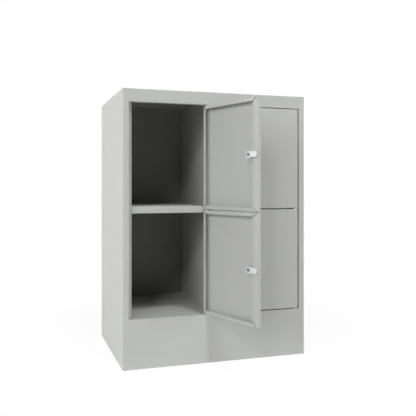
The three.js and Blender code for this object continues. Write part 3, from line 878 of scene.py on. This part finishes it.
def domed(radius, tip, direction):
    """The rows of a rounded end, from the rim to the axis: a quarter of an ellipse half as deep as it is
    wide. Direction is 1 where the end points up the axis."""
    angle = np.linspace(0, math.pi / 2, DOME_STEPS)
    depth = radius / 2
    return list(zip(radius * np.cos(angle), tip - direction * depth * (1 - np.sin(angle))))


lower_bottom, lower_top = node_box("lower_right_door")[:, Z]
upper_bottom, upper_top = node_box("upper_right_door")[:, Z]
shoulder_top = lower_bottom - BUSH_COLLAR - SEAM
plinth_under = plinth_top - SHEET
rail_seat = rail_bottom + SHEET
pin_rows = {
    "lower": [
        *domed(PIN_HEAD_RADIUS, plinth_under - PIN_HEAD, -1)[::-1],
        (PIN_HEAD_RADIUS, plinth_under),
        (PIN_RADIUS, plinth_under),
        (PIN_RADIUS, plinth_top),
        (PIN_SHOULDER_RADIUS, plinth_top),
        (PIN_SHOULDER_RADIUS, shoulder_top),
        (PIN_RADIUS, shoulder_top),
        *domed(PIN_RADIUS, lower_bottom + PIN_REACH, 1),
    ],
    "middle": [
        *domed(PIN_RADIUS, lower_top - PIN_REACH, -1)[::-1],
        *domed(PIN_RADIUS, upper_bottom + PIN_REACH, 1),
    ],
    "upper": [
        *domed(PIN_RADIUS, upper_top - PIN_REACH, -1)[::-1],
        (PIN_RADIUS, rail_seat),
        (PIN_HEAD_RADIUS, rail_seat),
        *domed(PIN_HEAD_RADIUS, rail_seat + PIN_HEAD, 1),
    ],
}
for column in columns:
    pivot_x, pivot_y, _ = joint_of[f"lower_{column}_door_hinge"]["pos_m"]
    for place, rows in pin_rows.items():
        pin = placed([around(rows, even_angles(), Z)], move=(pivot_x, pivot_y, 0))
        add_piece(f"{column}_{place}_pin", pin, SMALL_EDGE)
print(f"pins: {2 * PIN_RADIUS / MM:.0f} mm thick, {PIN_REACH / MM:.0f} mm into each door")

# %% [markdown]
# ## Bushes
#
# A nylon bush in the door's upper wall and one in its lower wall run on the pins, since steel on steel
# would squeal. Their collars lie outside on the walls, so the lower bush is the upper one mirrored.

# %% Bushes
BUSH_LENGTH = 8 * MM
BUSH_COLLAR_OVERHANG = 0.8 * MM
BUSH_BORE = PIN_RADIUS + PIN_GAP
COLLAR_RADIUS = BUSH_RADIUS + BUSH_COLLAR_OVERHANG

bush_rows = [
    (BUSH_BORE, -BUSH_LENGTH),
    (BUSH_RADIUS, -BUSH_LENGTH),
    (BUSH_RADIUS, 0.0),
    (COLLAR_RADIUS, 0.0),
    (COLLAR_RADIUS, BUSH_COLLAR),
    (BUSH_BORE, BUSH_COLLAR),
    (BUSH_BORE, -BUSH_LENGTH),
]
bush = around(bush_rows, even_angles(), Z)
for name, (turn, move) in doors.items():
    add_piece(f"{name}_lower_bush", placed([bush * (1, 1, -1)], turn, move), SMALL_EDGE)
    add_piece(f"{name}_upper_bush", placed([bush + (0, 0, door_height)], turn, move), SMALL_EDGE)
print(f"bushes: bore {2 * BUSH_BORE / MM:.1f} mm, collar {2 * COLLAR_RADIUS / MM:.1f} mm")

# %% [markdown]
# ## The cam lock
#
# A cam lock is a die-cast body with a flange in front of the door and a thread behind it, where a nut
# clamps it to the sheet. The plug turns inside, and its square end carries the cam, which a screw holds.
# Places along the lock are counted back from the door's front face, and the plug's keyway stands upright.

# %% Lock body and nut
LOCK_FLANGE_RADIUS = 11 * MM
LOCK_FLANGE = 1.5 * MM
LOCK_LENGTH = 19.5 * MM
PLUG_RADIUS = 6.3 * MM
FLANGE_ROUND = 0.6 * MM
THREAD_PITCH = 1.0 * MM
THREAD_DEPTH = 0.5 * MM
NUT_ACROSS_FLATS = 22 * MM
NUT_THICKNESS = 4 * MM
CHAMFER_SLOPE = math.tan(math.radians(30))

flange_front = -SEAM - LOCK_FLANGE
bore = PLUG_RADIUS + SEAM
quarter = np.linspace(0, math.pi / 2, BEND_STEPS)
flange_edge = zip(
    LOCK_FLANGE_RADIUS - FLANGE_ROUND * (1 - np.sin(quarter)),
    flange_front + FLANGE_ROUND * (1 - np.cos(quarter)),
)
thread_start = SHEET + THREAD_PITCH
thread_turns = int((LOCK_LENGTH - thread_start) / THREAD_PITCH)
crests = thread_start + THREAD_PITCH * np.arange(thread_turns)
thread = [
    (LOCK_RADIUS - depth, crest + offset)
    for crest in crests.tolist()
    for depth, offset in ((0.0, 0.0), (THREAD_DEPTH, THREAD_PITCH / 2))
]
body_rows = [
    (bore, flange_front),
    *flange_edge,
    (LOCK_FLANGE_RADIUS, -SEAM),
    (LOCK_RADIUS, -SEAM),
    *thread,
    (LOCK_RADIUS - THREAD_DEPTH, LOCK_LENGTH),
    (bore, LOCK_LENGTH),
    (bore, flange_front),
]

half_nut = NUT_ACROSS_FLATS / 2
corner = half_nut / math.cos(math.pi / 6)
hexagon = [(corner * math.cos(k * math.pi / 3), corner * math.sin(k * math.pi / 3)) for k in range(6)]
nut_angles = even_angles(hexagon)
nut_bore = LOCK_RADIUS + SEAM
nut_front = SHEET + SEAM
nut_back = nut_front + NUT_THICKNESS
chamfer = np.linspace(0, (corner - half_nut) * CHAMFER_SLOPE, BEND_STEPS)
coned = [np.minimum(reach(hexagon, nut_angles), half_nut + height / CHAMFER_SLOPE) for height in chamfer]
nut_rows = [
    (nut_bore, nut_front),
    *zip(coned, nut_front + chamfer),
    *zip(coned[::-1], nut_back - chamfer[::-1]),
    (nut_bore, nut_back),
    (nut_bore, nut_front),
]
print(f"lock: {thread_turns} turns of thread, nut {2 * corner / MM:.1f} mm over its corners")

# %% [markdown]
# The turning parts are the plug, the cam and the cam screw. The keyway is a slot sunk into the plug's
# face. The cam is stamped from plate: it reaches past the door's free edge and its tip is tapered so that
# it finds its way behind the strip. The screw has a flat round head with a cross recess.

# %% Plug, cam and screw
KEYWAY = rectangle(1.6 * MM, 8 * MM)
KEYWAY_DEPTH = 6 * MM
PLUG_CHAMFER = 0.5 * MM
CAM_DEPTH = 21 * MM
CAM_SHEET = 2.5 * MM
CAM_WIDTH = 17 * MM
CAM_REACH = 34 * MM
CAM_TAIL = 10 * MM
CAM_NOSE = 5 * MM
CAM_TAPER = 4.5 * MM
SQUARE_DRIVE = 7 * MM
SCREW_RADIUS = 1.9 * MM
SCREW_LENGTH = 10 * MM
SCREW_HEAD_RADIUS = 4.5 * MM
SCREW_HEAD = 2.2 * MM
HEAD_ROUND = 1.5 * MM
RECESS_LENGTH = 4.4 * MM
RECESS_WIDTH = 1.0 * MM
RECESS_DEPTH = 1.3 * MM

drive = rectangle(SQUARE_DRIVE, SQUARE_DRIVE)
plug_angles = even_angles(KEYWAY, drive)
keyway_wall, drive_wall = reach(KEYWAY, plug_angles), reach(drive, plug_angles)
cam_back = CAM_DEPTH + CAM_SHEET
shoulder = CAM_DEPTH - SEAM
drive_end = cam_back - SEAM
screw_hole = SCREW_RADIUS + SEAM
hole_bottom = drive_end - SCREW_LENGTH - SEAM
plug_rows = [
    (0.0, flange_front + KEYWAY_DEPTH),
    (keyway_wall, flange_front + KEYWAY_DEPTH),
    (keyway_wall, flange_front),
    (PLUG_RADIUS - PLUG_CHAMFER, flange_front),
    (PLUG_RADIUS, flange_front + PLUG_CHAMFER),
    (PLUG_RADIUS, shoulder),
    (drive_wall, shoulder),
    (drive_wall, drive_end),
    (screw_hole, drive_end),
    (screw_hole, hole_bottom),
    (0.0, hole_bottom),
]

half, nose = CAM_WIDTH / 2, CAM_NOSE / 2
cam_outline = [
    (CAM_TAIL, half),
    (CAM_TAPER - CAM_REACH, half),
    (-CAM_REACH, nose),
    (-CAM_REACH, -nose),
    (CAM_TAPER - CAM_REACH, -half),
    (CAM_TAIL, -half),
]
socket = rectangle(SQUARE_DRIVE + 2 * SEAM, SQUARE_DRIVE + 2 * SEAM)
cam_angles = even_angles(cam_outline, socket)
socket_wall, cam_edge = reach(socket, cam_angles), reach(cam_outline, cam_angles)
cam_rows = [
    (socket_wall, CAM_DEPTH),
    (cam_edge, CAM_DEPTH),
    (cam_edge, cam_back),
    (socket_wall, cam_back),
    (socket_wall, CAM_DEPTH),
]

blades = (rectangle(RECESS_LENGTH, RECESS_WIDTH), rectangle(RECESS_WIDTH, RECESS_LENGTH))
screw_angles = even_angles(*blades)
recess = np.maximum(*[reach(blade, screw_angles) for blade in blades])
screw_seat = cam_back + SEAM
screw_tip = cam_back - SCREW_LENGTH
screw_top = screw_seat + SCREW_HEAD
head_angle = np.linspace(0, math.pi / 2, DOME_STEPS)
head_edge = zip(
    SCREW_HEAD_RADIUS - HEAD_ROUND * (1 - np.cos(head_angle)),
    screw_seat + SCREW_HEAD / 2 * (1 + np.sin(head_angle)),
)
screw_rows = [
    (0.0, screw_tip),
    (SCREW_RADIUS / 2, screw_tip),
    (SCREW_RADIUS, screw_tip + SCREW_RADIUS / 2),
    (SCREW_RADIUS, screw_seat),
    (SCREW_HEAD_RADIUS, screw_seat),
    *head_edge,
    (recess, screw_top),
    (recess / 2, screw_top - RECESS_DEPTH),
    (0.0, screw_top - RECESS_DEPTH),
]
print(f"cam: {CAM_WIDTH / MM:.0f} mm wide, {cam_back / MM:.1f} mm behind the door's front")

# %% [markdown]
# All five parts of each lock take their place in the door, and then turn with it. The cams of the two open
# doors are thrown, and those of the closed doors hang down, unlocked.

# %% Locks
fixed_parts = {
    "lock_body": around(body_rows, even_angles(), Y),
    "lock_nut": around(nut_rows, nut_angles, Y),
}
turning_parts = {
    "lock_plug": around(plug_rows, plug_angles, Y),
    "lock_cam": around(cam_rows, cam_angles, Y),
    "cam_screw": around(screw_rows, screw_angles, Y),
}
lock_place = (lock_x, door_y[0], lock_z)
hanging = Matrix.Rotation(-math.pi / 2, 3, "Y")
for name, (turn, move) in doors.items():
    unlock = hanging if name.endswith("right") else None
    for part, grid in (fixed_parts | turning_parts).items():
        turned = placed([grid], unlock if part in turning_parts else None, lock_place)
        add_piece(f"{name}_{part}", placed(turned, turn, move), SMALL_EDGE)

# %% [markdown]
# ## The floor
#
# The photograph's floor is a white paper sweep. Rays from the camera and in reflections see it glow white,
# with a little of its real surface mixed in near the cabinet, so that the shadow stays. All other rays
# meet plain pale paper, so the floor throws no more light on the object than paper does.

# %% Floor
FLOOR_SIZE = 24.0
NEAR_WHITENESS = 0.94
FADE_START = 0.5
FADE_END = 1.5


def seen_directly(material):
    """1 where a ray comes straight from the camera, or by way of a mirror or glass, and otherwise 0."""
    path = add_node(material, "LightPath").outputs
    glossy = add_node(material, "Math", {0: path["Is Camera Ray"], 1: path["Is Glossy Ray"]}, operation="ADD")
    rays = {0: glossy.outputs["Value"], 1: path["Is Transmission Ray"]}
    return add_node(material, "Math", rays, operation="ADD", use_clamp=True).outputs["Value"]


def paper_floor(name, colour):
    """White sweep paper: matt, and shown white wherever it is looked at, less so near the cabinet."""
    material, place = new_material(name)
    distance = add_node(material, "VectorMath", {0: place}, operation="LENGTH")
    fade = {
        "Value": distance.outputs["Value"],
        "From Min": FADE_START,
        "From Max": FADE_END,
        "To Min": NEAR_WHITENESS,
        "To Max": 1.0,
    }
    whiteness = add_node(material, "MapRange", fade, interpolation_type="SMOOTHSTEP")
    shares = {0: seen_directly(material), 1: whiteness.outputs["Result"]}
    glow_share = add_node(material, "Math", shares, operation="MULTIPLY")
    paper = add_node(material, "BsdfDiffuse", {"Color": linear(colour), "Roughness": 1.0})
    glow = add_node(material, "Emission", {"Color": linear("#ffffff"), "Strength": 1.0})
    mix = {0: glow_share.outputs["Value"], 1: paper.outputs["BSDF"], 2: glow.outputs["Emission"]}
    return finish_material(material, add_node(material, "MixShader", mix))


floor_corners = np.array([(-1, -1, 0), (1, -1, 0), (1, 1, 0), (-1, 1, 0)]) * FLOOR_SIZE / 2
floor_mesh = bpy.data.meshes.new("floor")
floor_mesh.from_pydata(floor_corners.tolist(), [], [(0, 1, 2, 3)])
floor_mesh.materials.append(paper_floor("white_sweep_paper", "#f2f2f2"))
floor = add_object("floor", floor_mesh)

# %% [markdown]
# ## The studio behind the floor
#
# The backdrop is as white as the floor. In a reflection the room darkens towards the side where the camera
# stands, as a studio does, and that is why the boxes of the cabinet stay dark inside. It gives no light of
# its own: that comes from the lamps.

# %% Backdrop
DARK_SIDE = 0.1
DARK_SIDE_Y = -0.6
WHITE_SIDE_Y = 0.4

world = bpy.data.worlds.new("studio")
scene.world = world
world.use_nodes = True
world.node_tree.nodes.clear()
direction = add_node(world, "TexCoord").outputs["Generated"]
depth = add_node(world, "SeparateXYZ", {"Vector": direction}).outputs["Y"]
darkening = {
    "Value": depth,
    "From Min": DARK_SIDE_Y,
    "From Max": WHITE_SIDE_Y,
    "To Min": DARK_SIDE,
    "To Max": 1.0,
}
room = add_node(world, "MapRange", darkening, interpolation_type="SMOOTHSTEP")
camera_ray = add_node(world, "LightPath").outputs["Is Camera Ray"]
shade = add_node(world, "Math", {0: room.outputs["Result"], 1: camera_ray}, operation="MAXIMUM")
levels = {0: seen_directly(world), 1: shade.outputs["Value"]}
strength = add_node(world, "Math", levels, operation="MULTIPLY")
glow = {"Color": linear("#ffffff"), "Strength": strength.outputs["Value"]}
backdrop = add_node(world, "Background", glow).outputs["Background"]
add_node(world, "OutputWorld", {"Surface": backdrop})

# %% [markdown]
# ## Lamps
#
# The photograph was lit by soft boxes far enough away that the light is as strong at the plinth as at the
# top. The short shadow on a compartment's floor has a crisp edge and a soft one, so a small lamp and a large
# one hang high in front. The slanting edge of light on the centre wall comes from a small one on the left,
# with two large ones beside it. One far behind on the left brightens the side, and a low one on the right
# lights the front. Azimuth is counted from the front, positive to the right.

# %% Lamps
AIM = (0.0, 0.0, 0.4)
LAMP_DISTANCE = 8.0
LAMPS = {  # azimuth and elevation in degrees, width in metres, power in watts
    "high_key": (12, 62, 0.7, 168),
    "high_soft": (0, 62, 3.2, 152),
    "left_high": (-32, 31, 1.2, 99),
    "left_low": (-50, 15, 3.2, 168),
    "left_side": (-80, 27, 3.2, 151),
    "left_behind": (-127, 5, 3.2, 192),
    "right_low": (45, 3, 3.2, 184),
}


def softbox(name, azimuth, elevation, width, watts):
    """A square soft lamp that looks at AIM from LAMP_DISTANCE away. It isn't seen by the camera."""
    across, up = math.radians(azimuth), math.radians(elevation)
    toward = Vector((math.sin(across) * math.cos(up), -math.cos(across) * math.cos(up), math.sin(up)))
    lamp = bpy.data.lights.new(name, "AREA")
    lamp.shape = "SQUARE"
    lamp.size = width
    lamp.energy = watts
    holder = add_object(name, lamp)
    holder.location = Vector(AIM) + toward * LAMP_DISTANCE
    holder.rotation_euler = toward.to_track_quat("Z", "Y").to_euler()
    holder.visible_camera = False


for name, values in LAMPS.items():
    softbox(name, *values)
scene.view_settings.view_transform = "Standard"
print(f"lamps: {len(LAMPS)}, of {sum(watts for *_, watts in LAMPS.values())} W together")
